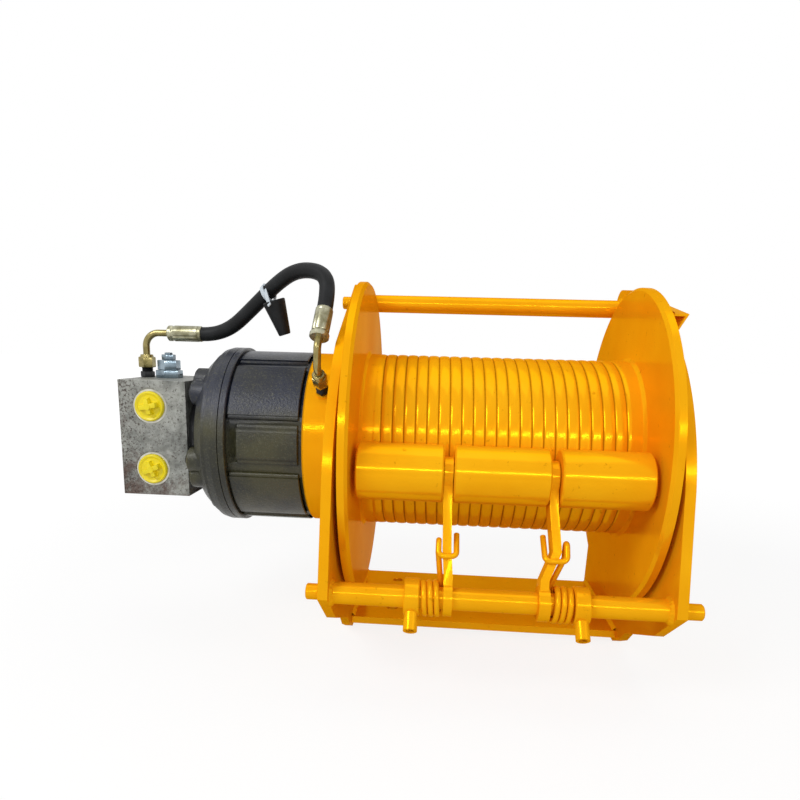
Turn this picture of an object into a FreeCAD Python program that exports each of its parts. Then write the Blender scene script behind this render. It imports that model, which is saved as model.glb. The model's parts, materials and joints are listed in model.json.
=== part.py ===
import FreeCAD, Part
import math
import os

"""Hydraulic winch with a grooved drum, sprung press rollers, a planetary reducer and a brake line.

X runs along the drum axis, the rollers face minus Y and Z points up.
The origin lies in the middle of the four bolt holes, on the underside of the base plate.
All lengths are millimetres. Shapes are built about the drum axis plane and moved back at export.
"""

# Frame and drum
DRUM_AXIS_Z = 240.0
BOLT_CENTRE_Y = 65.0
DRUM_WIDTH = 295.0
FLANGE_RADIUS = 180.0
FLANGE_THICK = 10.0
FLANGE_BEVEL = 3.0
MOVING_GAP = 5.0
PLATE_THICK = 10.0
SEAT = 0.3

# Drum core
CORE_RADIUS = 100.0
CORE_WALL = 12.0
GROOVE_PITCH = 12.1
GROOVE_DEPTH = 1.5
GROOVE_COUNT = 22
HUB_RADIUS = 38.0
SHAFT_RADIUS = 30.0
BEARING_PLAY = 0.1

# Press rod and rollers
ROD_Y = -173.5
ROD_Z = 111.0
ROD_RADIUS = 11.0
STUB_RADIUS = 8.0
ROD_OUT_LEFT = 14.5
ROD_OUT_RIGHT = 20.5
TIE_OUT_LEFT = 24.5
TIE_OUT_RIGHT = 16.0
ROLLER_RADIUS = 28.7
ROLLER_GAP = 5.4
ROLLER_DIP = 5.56
ROLLER_BEVEL = 1.5
AXLE_RADIUS = 8.0
RUN_PLAY = 0.1
PIVOT_PLAY = 0.1

# Press arms, as stations of height above the rod along the arm and place across the winch
ARM_THICK = 8.5
ARM_WIDTH = 22.0
ARM_TOP_WIDTH = 34.0
ARM_END_GAP = 0.9
EYE_RADIUS = 17.0
EYE_LEFT_THICK = 8.5
EYE_RIGHT_THICK = 11.0
ARM_LEFT_BENDS = ((0.0, -48.2), (22.0, -48.4), (48.0, -50.5), (92.0, -51.8), (122.0, -51.8))
ARM_RIGHT_BENDS = ((0.0, 43.2), (22.0, 43.4), (50.0, 54.6), (92.0, 50.6), (122.0, 50.6))

# Torsion springs and clamp collars
WIRE_RADIUS = 2.8
COIL_RADIUS = 15.3
COIL_PITCH = 6.0
COIL_TURNS = 2.75
HOOK_HEIGHT = 41.0
HOOK_RISE = 65.0
LEG_KNEE = 42.0
CLAMP_RADIUS = 18.5
CLAMP_WIDTH = 15.1
BOSS_RADIUS = 6.8
BOSS_BORE = 4.0
BOSS_REACH = 35.0
BOSS_SLOPE = 45.0

# Tie bar and base
TIE_Y = 109.8
TIE_Z = 403.9
TIE_RADIUS = 11.0
LUG_RADIUS = 24.0
SHOULDER_BACK = 69.8
SHOULDER_RISE = 17.1
BASE_THICK = 9.0
BASE_UNDER = 9.0
BASE_FRONT_Y = -20.0
BASE_REAR_Y = 150.0
BOLT_SPACING_X = 228.0
BOLT_SPACING_Y = 100.0
BOLT_HOLE_RADIUS = 7.0

# Bearing cover and the bent hood above it
COVER_RADIUS = 62.0
COVER_STEP_RADIUS = 48.0
COVER_LIP = 8.0
COVER_OUT = 20.0
HOOD_OUT = 15.5
HOOD_DROP = 28.0
HOOD_SHEET = 2.5
HOOD_FRONT = (-62.0, 390.0)
HOOD_REAR = (10.0, 404.0)

# Brake housing and reducer
HOUSING_RADIUS = 99.0
HOUSING_LENGTH = 36.3
HOUSING_BEVEL = 2.0
LOBE_RADIUS = HOUSING_RADIUS + 0.5
LOBE_HEIGHT = 2.4
LOBES = ((1.75, 10.0), (38.5, 18.5), (90.0, 24.0), (141.5, 18.5), (178.25, 10.0), (218.5, 18.5),
         (270.0, 24.0), (321.5, 18.5))
LOBE_SLOPE = 2.5
LOBE_SHORT = 10.5
BODY_LENGTH = 82.2
RING_RADIUS = 103.0
RING_GROOVE = 1.2
RING_GROOVE_PLACE = 7.6
RING_LENGTH = 23.0
COVER_DEPTH = 16.0
COVER_RIM = 97.0
BOSS_OUT = 9.5
BOLT_CIRCLE = 78.0
COVER_BOSS_RADIUS = 14.0
COVER_PAIRS = 5
COVER_PAIR_PHASE = 49.5
COVER_PAIR_HALF = 7.5

# Motor
MOTOR_FLANGE_RADIUS = 56.0
MOTOR_FLANGE_LENGTH = 17.3
BLOCK_WIDTH = 77.5
BLOCK_FRONT_Y = -62.0
BLOCK_REAR_Y = 58.0
BLOCK_BOTTOM = 174.0
BLOCK_TOP = 305.0
PORT_UPPER_Z = 276.0
PORT_LOWER_Z = 204.5
PORT_INSET = 41.7
PORT_SPOT_RADIUS = 19.5
PORT_SPOT_DEPTH = 1.0
PORT_BORE_RADIUS = 13.0
PORT_BORE_DEPTH = 22.0
PLUG_RADIUS = 17.0
PLUG_FIT = 0.05
PLUG_STEM = 14.0
PLUG_RIM = 4.0
PLUG_GRIP = 5.0

# Brake line
LINE_Y = 0.0
TUBE_RADIUS = 4.0
NUT_ACROSS = 17.0
NUT_LENGTH = 15.5
HOUSING_NUT_ACROSS = 14.0
HOUSING_NUT_LENGTH = 19.0
ADAPTER_FOOT_ACROSS = 14.0
ADAPTER_FOOT_HEIGHT = 7.0
ADAPTER_NECK = 4.6
NECK_RADIUS = 6.0
FERRULE_RADIUS = 9.3
FERRULE_LENGTH = 40.5
HOUSING_FERRULE_LENGTH = 34.0
HOSE_ENTRY = 14.0
HOSE_OFFSETS = ((SEAT, 0.0, 0.0), (14.5, 0.0, 0.0), (39.5, -7.0, 8.7), (64.5, -16.0, 28.7),
                (99.5, -32.0, 57.2), (123.5, -45.0, 69.2), (148.5, -60.0, 68.2), (162.5, -71.0, 58.7))
COLLAR_RADIUS = 10.2
COLLAR_LENGTH = 6.0
HOSE_RADIUS = 8.2
ADAPTER_INSET = 70.7
VALVE_INSET = 43.7
TUBE_TOP = 357.3
TUBE_BEND = 16.0
TUBE_REACH = 29.0
FERRULE_PLACE = FreeCAD.Vector(1.2, -3.6, 35.6)
FERRULE_LEAN = FreeCAD.Vector(2.7, 22.0, 34.0)
BRAKE_PORT_ANGLE = 52.5
BRAKE_PORT_INSET = 16.5
BRAKE_PORT_RADIUS = 9.0
BRAKE_PORT_LIFT = 0.6
HOUSING_ADAPTER_RADIUS = 6.5
HOUSING_ADAPTER_LENGTH = 12.5

SIDE_X = DRUM_WIDTH / 2.0 + FLANGE_THICK + MOVING_GAP
OUTER_X = SIDE_X + PLATE_THICK
HOUSING_END_X = -(OUTER_X + HOUSING_LENGTH)
BODY_END_X = HOUSING_END_X - BODY_LENGTH
RING_GROOVE_X = BODY_END_X - RING_GROOVE_PLACE
RING_END_X = BODY_END_X - RING_LENGTH
COVER_END_X = RING_END_X - COVER_DEPTH
BOSS_END_X = COVER_END_X - BOSS_OUT
BLOCK_RIGHT_X = COVER_END_X - MOTOR_FLANGE_LENGTH
PORT_X = BLOCK_RIGHT_X - PORT_INSET
ADAPTER_X = BLOCK_RIGHT_X - ADAPTER_INSET
VALVE_X = BLOCK_RIGHT_X - VALVE_INSET
BLOCK_FERRULE_X = ADAPTER_X + TUBE_REACH
BRAKE_PORT_X = -(OUTER_X + BRAKE_PORT_INSET)
ROLLER_REACH = CORE_RADIUS + ROLLER_GAP + ROLLER_RADIUS
ROLLER_Y = -ROLLER_REACH * math.cos(math.radians(ROLLER_DIP))
ROLLER_Z = DRUM_AXIS_Z - ROLLER_REACH * math.sin(math.radians(ROLLER_DIP))

V = FreeCAD.Vector
X_AXIS = V(1.0, 0.0, 0.0)
made = {}


def rod_x(radius, x0, x1, y, z):
    """Round bar along X between two stations."""
    return Part.makeCylinder(radius, x1 - x0, V(x0, y, z), X_AXIS)


def turned_x(profile, y, z):
    """Solid turned about an X axis from (x, radius) pairs."""
    points = [V(x, y, z + r) for x, r in profile]
    points.append(points[0])
    face = Part.Face(Part.makePolygon(points))
    return face.revolve(V(0.0, y, z), X_AXIS, 360.0)


def turned_z(profile, x, y):
    """Solid turned about a vertical axis from (radius, z) pairs."""
    points = [V(x + r, y, z) for r, z in profile]
    points.append(points[0])
    face = Part.Face(Part.makePolygon(points))
    return face.revolve(V(x, y, 0.0), V(0.0, 0.0, 1.0), 360.0)


def hexagon_bar(across, length, start, direction):
    """Hexagon bar of the given width across flats."""
    corner = across / math.sqrt(3.0)
    points = []
    for k in range(7):
        angle = math.radians(60.0 * k + 30.0)
        points.append(V(corner * math.cos(angle), corner * math.sin(angle), 0.0))
    bar = Part.Face(Part.makePolygon(points)).extrude(V(0.0, 0.0, length))
    turn = FreeCAD.Rotation(V(0.0, 0.0, 1.0), direction)
    bar.Placement = FreeCAD.Placement(start, turn)
    return bar


def rounded_route(points, radii):
    """Wire of straight runs joined by tangent arcs, with the volume of arcs known by their radii."""
    edges = []
    start = points[0]
    for k in range(1, len(points) - 1):
        before = (points[k - 1] - points[k]).normalize()
        after = (points[k + 1] - points[k]).normalize()
        half = math.acos(max(-1.0, min(1.0, before.dot(after)))) / 2.0
        trim = radii[k - 1] / math.tan(half)
        first = points[k] + before * trim
        last = points[k] + after * trim
        bisector = (before + after).normalize()
        centre = points[k] + bisector * (radii[k - 1] / math.sin(half))
        middle = centre - bisector * radii[k - 1]
        if (first - start).Length > 1e-6:
            edges.append(Part.makeLine(start, first))
        edges.append(Part.Arc(first, middle, last).toShape())
        start = last
    edges.append(Part.makeLine(start, points[-1]))
    return Part.Wire(edges)


def swept_round(wire, radius):
    """Round bar of one radius along a wire."""
    start = wire.Edges[0].Vertexes[0].Point
    heading = wire.Edges[0].tangentAt(wire.Edges[0].FirstParameter)
    circle = Part.Wire([Part.makeCircle(radius, start, heading)])
    return wire.makePipeShell([circle], True, True)


def keep(name, shape):
    """Store one named piece."""
    made[name] = shape.removeSplitter() if shape.ShapeType != "Compound" else shape


def side_plate(x_inner, x_outer):
    """Frame plate: sloped foot, leaning front edge, arched top and a lug for the tie bar."""
    low = min(x_inner, x_outer)
    spots = [(-9.0, 0.0), (-35.0, 13.6), (-53.0, 30.6), (-143.0, 70.3), (-194.5, 111.0), (-175.0, 227.0)]
    points = [V(low, y, z) for y, z in spots]
    edges = [Part.makeLine(points[k], points[k + 1]) for k in range(len(points) - 1)]
    arc_end = V(low, -97.0, 352.0)
    edges.append(Part.Arc(points[-1], V(low, -145.0, 300.0), arc_end).toShape())
    lug_front = V(low, TIE_Y - SHOULDER_BACK, TIE_Z + SHOULDER_RISE)
    lug_top = V(low, TIE_Y, TIE_Z + LUG_RADIUS)
    lug_rear = V(low, TIE_Y + LUG_RADIUS, TIE_Z)
    slant = LUG_RADIUS * math.sqrt(0.5)
    edges.append(Part.makeLine(arc_end, lug_front))
    edges.append(Part.makeLine(lug_front, lug_top))
    edges.append(Part.Arc(lug_top, V(low, TIE_Y + slant, TIE_Z + slant), lug_rear).toShape())
    foot_rear = V(low, 160.0, 0.0)
    edges.append(Part.makeLine(lug_rear, foot_rear))
    edges.append(Part.makeLine(foot_rear, points[0]))
    plate = Part.Face(Part.Wire(edges)).extrude(V(PLATE_THICK, 0.0, 0.0))
    for radius, y, z in ((STUB_RADIUS, ROD_Y, ROD_Z), (STUB_RADIUS, TIE_Y, TIE_Z)):
        plate = plate.cut(rod_x(radius, low - 1.0, low + PLATE_THICK + 1.0, y, z))
    bore = rod_x(HUB_RADIUS + BEARING_PLAY, low - 1.0, low + PLATE_THICK + 1.0, 0.0, DRUM_AXIS_Z)
    return plate.cut(bore)


def shouldered_bar(radius, y, z, out_left, out_right):
    """Cross bar with a thinner stub through each side plate."""
    left = -(OUTER_X + out_left)
    right = OUTER_X + out_right
    bevel = 1.0
    profile = [(left, 0.0), (left, STUB_RADIUS - bevel), (left + bevel, STUB_RADIUS)]
    profile += [(-SIDE_X, STUB_RADIUS), (-SIDE_X, radius), (SIDE_X, radius), (SIDE_X, STUB_RADIUS)]
    profile += [(right - bevel, STUB_RADIUS), (right, STUB_RADIUS - bevel), (right, 0.0)]
    return turned_x(profile, y, z)


# Frame
keep("side_plate_left", side_plate(-SIDE_X, -OUTER_X))
keep("side_plate_right", side_plate(SIDE_X, OUTER_X))
keep("tie_bar", shouldered_bar(TIE_RADIUS, TIE_Y, TIE_Z, TIE_OUT_LEFT, TIE_OUT_RIGHT))
base = Part.makeBox(2.0 * SIDE_X, BASE_REAR_Y - BASE_FRONT_Y, BASE_THICK,
                    V(-SIDE_X, BASE_FRONT_Y, BASE_UNDER))
for side_x in (-1.0, 1.0):
    for side_y in (-1.0, 1.0):
        hole_x = side_x * BOLT_SPACING_X / 2.0
        hole_y = BOLT_CENTRE_Y + side_y * BOLT_SPACING_Y / 2.0
        base = base.cut(Part.makeCylinder(BOLT_HOLE_RADIUS, BASE_THICK, V(hole_x, hole_y, BASE_UNDER)))
keep("base_plate", base)

# Drum with two flanges and the shaft that runs in the side plates
half = DRUM_WIDTH / 2.0
grooves_start = -GROOVE_PITCH * GROOVE_COUNT / 2.0
profile = [(-half, CORE_RADIUS - CORE_WALL), (-half, CORE_RADIUS), (grooves_start, CORE_RADIUS)]
for k in range(GROOVE_COUNT):
    left = grooves_start + k * GROOVE_PITCH
    profile.append((left + GROOVE_PITCH / 2.0, CORE_RADIUS - GROOVE_DEPTH))
    profile.append((left + GROOVE_PITCH, CORE_RADIUS))
profile += [(half, CORE_RADIUS), (half, CORE_RADIUS - CORE_WALL)]
keep("drum_core", turned_x(profile, 0.0, DRUM_AXIS_Z))
for name, side in (("drum_flange_left", -1.0), ("drum_flange_right", 1.0)):
    inner = side * half
    rim = [(inner, SHAFT_RADIUS), (inner, FLANGE_RADIUS - FLANGE_BEVEL)]
    rim += [(inner + side * FLANGE_BEVEL, FLANGE_RADIUS), (inner + side * FLANGE_THICK, FLANGE_RADIUS)]
    rim += [(inner + side * FLANGE_THICK, SHAFT_RADIUS)]
    keep(name, turned_x(rim, 0.0, DRUM_AXIS_Z))
shaft_end = OUTER_X - 1.0
shaft = rod_x(SHAFT_RADIUS, -shaft_end, shaft_end, 0.0, DRUM_AXIS_Z)
for side in (-1.0, 1.0):
    x0 = min(side * (half + FLANGE_THICK), side * shaft_end)
    x1 = max(side * (half + FLANGE_THICK), side * shaft_end)
    shaft = shaft.fuse(rod_x(HUB_RADIUS, x0, x1, 0.0, DRUM_AXIS_Z))
keep("drum_shaft", shaft)

# Right bearing cover and the bent guard above it
cover = [(OUTER_X, 0.0), (OUTER_X, COVER_RADIUS), (OUTER_X + COVER_LIP, COVER_RADIUS)]
cover += [(OUTER_X + COVER_LIP, COVER_STEP_RADIUS), (OUTER_X + COVER_OUT, COVER_STEP_RADIUS - 4.0)]
cover += [(OUTER_X + COVER_OUT, 0.0)]
keep("bearing_cover", turned_x(cover, 0.0, DRUM_AXIS_Z))
leg_length = math.hypot(HOOD_OUT, HOOD_DROP)
leg_rise = HOOD_SHEET * leg_length / HOOD_OUT
inner_out = (HOOD_DROP - leg_rise - HOOD_SHEET) * HOOD_OUT / HOOD_DROP
hood_line = [(0.0, 0.0), (HOOD_OUT, 0.0), (0.0, -HOOD_DROP), (0.0, leg_rise - HOOD_DROP)]
hood_line += [(inner_out, -HOOD_SHEET), (0.0, -HOOD_SHEET), (0.0, 0.0)]
hood_y, hood_z = HOOD_FRONT
hood = Part.Face(Part.makePolygon([V(OUTER_X + x, hood_y, hood_z + z) for x, z in hood_line]))
keep("side_guard", hood.extrude(V(0.0, HOOD_REAR[0] - hood_y, HOOD_REAR[1] - hood_z)))

# Brake housing, reducer and motor
housing = [(-OUTER_X, 0.0), (-OUTER_X, HOUSING_RADIUS), (HOUSING_END_X + HOUSING_BEVEL, HOUSING_RADIUS)]
housing += [(HOUSING_END_X, HOUSING_RADIUS - HOUSING_BEVEL), (HOUSING_END_X, 0.0)]
brake_housing = turned_x(housing, 0.0, DRUM_AXIS_Z)


def lobe(centre, half_angle, x_left, x_right, top):
    """Raised pad on the reducer body, chamfered at both ends, over part of a turn."""
    root = LOBE_RADIUS - LOBE_HEIGHT - 4.0
    line = [(x_left, root), (x_left, top - LOBE_HEIGHT / 2.0), (x_left + 2.0, top)]
    line += [(x_right - 1.0, top), (x_right, top - 1.0), (x_right, root)]
    points = [V(x, -r, DRUM_AXIS_Z) for x, r in line]
    points.append(points[0])
    pad = Part.Face(Part.makePolygon(points)).revolve(V(0.0, 0.0, DRUM_AXIS_Z), X_AXIS, -2.0 * half_angle)
    return pad.rotated(V(0.0, 0.0, DRUM_AXIS_Z), X_AXIS, half_angle - centre)


body = [(HOUSING_END_X, 0.0), (HOUSING_END_X, LOBE_RADIUS - LOBE_HEIGHT)]
body += [(BODY_END_X, LOBE_RADIUS - LOBE_HEIGHT), (BODY_END_X, 0.0)]
reducer_body = turned_x(body, 0.0, DRUM_AXIS_Z)
for centre, half_angle in LOBES:
    lobe_left = BODY_END_X + (LOBE_SHORT if half_angle < 15.0 else 0.0)
    lobe_right = HOUSING_END_X - 3.5
    reducer_body = reducer_body.fuse(lobe(centre, half_angle, lobe_left, lobe_right, LOBE_RADIUS))
    reducer_body = reducer_body.fuse(lobe(centre, half_angle + LOBE_SLOPE, lobe_left, lobe_right,
                                          LOBE_RADIUS - LOBE_HEIGHT / 2.0))
keep("reducer_body", reducer_body)
ring = [(BODY_END_X, 0.0), (BODY_END_X, RING_RADIUS - 1.0), (BODY_END_X - 1.0, RING_RADIUS)]
ring += [(RING_GROOVE_X + 0.5, RING_RADIUS), (RING_GROOVE_X, RING_RADIUS - RING_GROOVE)]
ring += [(RING_GROOVE_X - 0.5, RING_RADIUS), (RING_END_X + 7.0, RING_RADIUS)]
ring += [(RING_END_X, RING_RADIUS - 2.0), (RING_END_X, 0.0)]
keep("reducer_ring", turned_x(ring, 0.0, DRUM_AXIS_Z))
cap = [(RING_END_X, 0.0), (RING_END_X, COVER_RIM), (RING_END_X - 5.0, COVER_RIM)]
cap += [(COVER_END_X, COVER_RIM - 11.0), (COVER_END_X, 0.0)]
reducer_cover = turned_x(cap, 0.0, DRUM_AXIS_Z)
for k in range(COVER_PAIRS):
    for side in (-1.0, 1.0):
        angle = math.radians(COVER_PAIR_PHASE + 360.0 / COVER_PAIRS * k + side * COVER_PAIR_HALF)
        boss_y = -BOLT_CIRCLE * math.cos(angle)
        boss_z = DRUM_AXIS_Z + BOLT_CIRCLE * math.sin(angle)
        boss_line = [(RING_END_X - 6.0, 0.0), (RING_END_X - 6.0, COVER_BOSS_RADIUS)]
        boss_line += [(BOSS_END_X + 2.0, COVER_BOSS_RADIUS), (BOSS_END_X, COVER_BOSS_RADIUS - 2.0)]
        boss_line += [(BOSS_END_X, 0.0)]
        reducer_cover = reducer_cover.fuse(turned_x(boss_line, boss_y, boss_z))
keep("reducer_cover", reducer_cover)
keep("motor_flange", rod_x(MOTOR_FLANGE_RADIUS, BLOCK_RIGHT_X, COVER_END_X, 0.0, DRUM_AXIS_Z))

block = Part.makeBox(BLOCK_WIDTH, BLOCK_REAR_Y - BLOCK_FRONT_Y, BLOCK_TOP - BLOCK_BOTTOM,
                     V(BLOCK_RIGHT_X - BLOCK_WIDTH, BLOCK_FRONT_Y, BLOCK_BOTTOM))
BACKWARD = V(0.0, 1.0, 0.0)
for name, port_z in (("port_plug_upper", PORT_UPPER_Z), ("port_plug_lower", PORT_LOWER_Z)):
    face_point = V(PORT_X, BLOCK_FRONT_Y, port_z)
    block = block.cut(Part.makeCylinder(PORT_SPOT_RADIUS, PORT_SPOT_DEPTH, face_point, BACKWARD))
    block = block.cut(Part.makeCylinder(PORT_BORE_RADIUS, PORT_BORE_DEPTH, face_point, BACKWARD))
    seat_y = BLOCK_FRONT_Y + PORT_SPOT_DEPTH
    plug = Part.makeCylinder(PLUG_RADIUS, PLUG_RIM, V(PORT_X, seat_y - PLUG_RIM, port_z), BACKWARD)
    stem = Part.makeCylinder(PORT_BORE_RADIUS - PLUG_FIT, PLUG_STEM, V(PORT_X, seat_y, port_z), BACKWARD)
    plug = plug.fuse(stem)
    grip_y = seat_y - PLUG_RIM - PLUG_GRIP
    for half_wide, half_high in ((9.0, 2.0), (2.0, 9.0)):
        grip = Part.makeBox(2.0 * half_wide, PLUG_GRIP, 2.0 * half_high,
                            V(PORT_X - half_wide, grip_y, port_z - half_high))
        plug = plug.fuse(grip)
    keep(name, plug)
keep("motor_block", block)

# Fittings on the block
UP = V(0.0, 0.0, 1.0)
valve = hexagon_bar(27.0, 9.2, V(VALVE_X, LINE_Y, BLOCK_TOP), UP)
valve = valve.fuse(hexagon_bar(23.0, 12.0, V(VALVE_X, LINE_Y, BLOCK_TOP + 9.2), UP))
valve = valve.fuse(hexagon_bar(14.0, 6.3, V(VALVE_X, LINE_Y, BLOCK_TOP + 21.2), UP))
valve = valve.fuse(Part.makeCylinder(4.6, 2.3, V(VALVE_X, LINE_Y, BLOCK_TOP + 27.5)))
keep("relief_valve", valve)
adapter_foot = V(ADAPTER_X, LINE_Y, BLOCK_TOP)
adapter = hexagon_bar(ADAPTER_FOOT_ACROSS, ADAPTER_FOOT_HEIGHT, adapter_foot, UP)
adapter = adapter.fuse(Part.makeCylinder(NECK_RADIUS, ADAPTER_FOOT_HEIGHT + ADAPTER_NECK, adapter_foot))
keep("block_adapter", adapter)
nut_low = BLOCK_TOP + ADAPTER_FOOT_HEIGHT + ADAPTER_NECK
keep("block_nut", hexagon_bar(NUT_ACROSS, NUT_LENGTH, V(ADAPTER_X, LINE_Y, nut_low), UP))
tube_points = [V(ADAPTER_X, LINE_Y, nut_low + NUT_LENGTH), V(ADAPTER_X, LINE_Y, TUBE_TOP),
               V(BLOCK_FERRULE_X, LINE_Y, TUBE_TOP)]
keep("block_tube", swept_round(rounded_route(tube_points, [TUBE_BEND]), TUBE_RADIUS))
hose_start_x = BLOCK_FERRULE_X + FERRULE_LENGTH
ferrule = [(BLOCK_FERRULE_X, 0.0), (BLOCK_FERRULE_X, 6.5), (BLOCK_FERRULE_X + 5.0, FERRULE_RADIUS)]
ferrule += [(hose_start_x, FERRULE_RADIUS), (hose_start_x, 0.0)]
keep("ferrule_block", turned_x(ferrule, LINE_Y, TUBE_TOP))

# Fittings on the brake housing, radial to it
tilt = math.radians(BRAKE_PORT_ANGLE)
port_axis = V(0.0, -math.sin(tilt), math.cos(tilt))
port_line = V(BRAKE_PORT_X, 0.0, DRUM_AXIS_Z)
port_seat = HOUSING_RADIUS + BRAKE_PORT_LIFT
port_root = HOUSING_RADIUS / 2.0
brake_port = Part.makeCylinder(BRAKE_PORT_RADIUS, port_seat - port_root, port_line + port_axis * port_root,
                               port_axis)
keep("brake_housing", brake_housing.fuse(brake_port))
foot = port_line + port_axis * port_seat
keep("housing_adapter", Part.makeCylinder(HOUSING_ADAPTER_RADIUS, HOUSING_ADAPTER_LENGTH, foot, port_axis))
nut_foot = foot + port_axis * HOUSING_ADAPTER_LENGTH
keep("housing_nut", hexagon_bar(HOUSING_NUT_ACROSS, HOUSING_NUT_LENGTH, nut_foot, port_axis))
tube_start = nut_foot + port_axis * HOUSING_NUT_LENGTH
ferrule_low = tube_start + FERRULE_PLACE
heading = FreeCAD.Vector(FERRULE_LEAN).normalize()
ferrule_top = ferrule_low + heading * HOUSING_FERRULE_LENGTH
tube_route = [tube_start, tube_start + port_axis * 9.0, ferrule_low - heading * 10.0, ferrule_low]
keep("housing_tube", swept_round(rounded_route(tube_route, [11.0, 11.0]), TUBE_RADIUS))
sleeve = Part.makeCylinder(FERRULE_RADIUS, HOUSING_FERRULE_LENGTH, ferrule_low, heading)
keep("ferrule_housing", sleeve.fuse(Part.makeCylinder(COLLAR_RADIUS, COLLAR_LENGTH, ferrule_low, heading)))

# Hose on its real route between the two ferrules
hose_start = V(hose_start_x, LINE_Y, TUBE_TOP)
hose_points = [hose_start + V(x, y, z) for x, y, z in HOSE_OFFSETS]
hose_points += [ferrule_top + heading * HOSE_ENTRY, ferrule_top + heading * SEAT]
hose_radii = []
for k in range(1, len(hose_points) - 1):
    back = hose_points[k - 1] - hose_points[k]
    front = hose_points[k + 1] - hose_points[k]
    shorter_run = min(back.Length, front.Length)
    between = math.pi - math.acos(back.normalize().dot(front.normalize()))
    hose_radii.append(0.45 * shorter_run / math.tan(between / 2.0))
hose_wire = rounded_route(hose_points, hose_radii)
hose = swept_round(hose_wire, HOSE_RADIUS)
print("hose bend radii", [round(radius, 1) for radius in hose_radii])
print("hose length", round(hose_wire.Length, 1), "volume", round(hose.Volume),
      "section times length", round(math.pi * HOSE_RADIUS ** 2 * hose_wire.Length))
keep("brake_hose", hose)

# Cable tie with the rubber stopper hanging from the hose
TIE_BAND = 3.0
BAND_THICK = 1.5
TIE_FIT = 0.05
tie_run = hose_wire.Edges[6]
tie_spot = tie_run.Vertexes[0].Point * 0.15 + tie_run.Vertexes[1].Point * 0.85
tie_heading = (hose_points[4] - hose_points[3]).normalize()
band = Part.makeCylinder(HOSE_RADIUS + BAND_THICK, TIE_BAND, tie_spot - tie_heading * (TIE_BAND / 2.0),
                         tie_heading)
band = band.cut(Part.makeCylinder(HOSE_RADIUS + TIE_FIT, 3.0 * TIE_BAND, tie_spot - tie_heading * TIE_BAND,
                                  tie_heading))
keep("cable_tie", band)
STOPPER_TOP_RADIUS = 12.0
STOPPER_LOW_RADIUS = 6.3
STOPPER_LENGTH = 32.0
stopper_way = V(9.5, 3.0, -30.0).normalize()
stopper_top = tie_spot + V(8.3, -14.6, -8.6)
keep("rubber_stopper", Part.makeCone(STOPPER_TOP_RADIUS, STOPPER_LOW_RADIUS, STOPPER_LENGTH, stopper_top,
                                     stopper_way))

# Press rod and its clamp collars
keep("press_rod", shouldered_bar(ROD_RADIUS, ROD_Y, ROD_Z, ROD_OUT_LEFT, ROD_OUT_RIGHT))
slope = math.radians(BOSS_SLOPE)
boss_way = V(0.0, -math.cos(slope), -math.sin(slope))
COIL_LENGTH = COIL_PITCH * COIL_TURNS
coil_end_left = abs(ARM_LEFT_BENDS[0][1]) + EYE_LEFT_THICK / 2.0 + SEAT + WIRE_RADIUS
coil_end_right = ARM_RIGHT_BENDS[0][1] + EYE_RIGHT_THICK / 2.0 + SEAT + WIRE_RADIUS
clamp_step = COIL_LENGTH + WIRE_RADIUS + SEAT
for name, side, clamp_near in (("clamp_left", -1.0, coil_end_left + clamp_step),
                               ("clamp_right", 1.0, coil_end_right + clamp_step)):
    x = side * (clamp_near + CLAMP_WIDTH / 2.0)
    low = x - CLAMP_WIDTH / 2.0
    corner = 1.2
    ring_line = [(low, 0.0), (low, CLAMP_RADIUS - corner), (low + corner, CLAMP_RADIUS)]
    ring_line += [(low + CLAMP_WIDTH - corner, CLAMP_RADIUS), (low + CLAMP_WIDTH, CLAMP_RADIUS - corner)]
    ring_line += [(low + CLAMP_WIDTH, 0.0)]
    ring = turned_x(ring_line, ROD_Y, ROD_Z)
    axis_point = V(x, ROD_Y, ROD_Z)
    ring = ring.fuse(Part.makeCylinder(BOSS_RADIUS, BOSS_REACH, axis_point, boss_way))
    ring = ring.cut(Part.makeCylinder(BOSS_BORE, BOSS_REACH + 1.0, axis_point, boss_way))
    keep(name, ring.cut(rod_x(ROD_RADIUS, x - CLAMP_WIDTH, x + CLAMP_WIDTH, ROD_Y, ROD_Z)))

# Arms
reach = V(0.0, ROLLER_Y - ROD_Y, ROLLER_Z - ROD_Z)
arm_way = V(reach).normalize()
arm_side = V(0.0, arm_way.z, -arm_way.y)


def arm(bends, eye_thick):
    """Flat bar bent sideways along its length, with an eye on the press rod and one on the roller axle."""
    outline = []
    for side in (-1.0, 1.0):
        line = [V(x + side * ARM_THICK / 2.0, 0.0, up) for up, x in bends]
        outline += line if side < 0.0 else line[::-1]
    outline.append(outline[0])
    bar = Part.Face(Part.makePolygon(outline)).extrude(V(0.0, ARM_WIDTH, 0.0))
    bar.translate(V(0.0, -ARM_WIDTH / 2.0, 0.0))
    turn = FreeCAD.Rotation(X_AXIS, arm_side, arm_way, "ZXY")
    bar.Placement = FreeCAD.Placement(V(0.0, ROD_Y, ROD_Z), turn).multiply(bar.Placement)
    eye_low = bends[0][1] - eye_thick / 2.0
    top_low = bends[-1][1] - ARM_THICK / 2.0
    bar = bar.fuse(rod_x(EYE_RADIUS, eye_low, eye_low + eye_thick, ROD_Y, ROD_Z))
    bar = bar.fuse(rod_x(ARM_TOP_WIDTH / 2.0, top_low, top_low + ARM_THICK, ROLLER_Y, ROLLER_Z))
    bar = bar.cut(rod_x(ROD_RADIUS + PIVOT_PLAY, eye_low - 1.0, eye_low + eye_thick + 1.0, ROD_Y, ROD_Z))
    return bar.cut(rod_x(AXLE_RADIUS, top_low - 4.0, top_low + ARM_THICK + 4.0, ROLLER_Y, ROLLER_Z))


keep("arm_left", arm(ARM_LEFT_BENDS, EYE_LEFT_THICK))
keep("arm_right", arm(ARM_RIGHT_BENDS, EYE_RIGHT_THICK))

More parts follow.
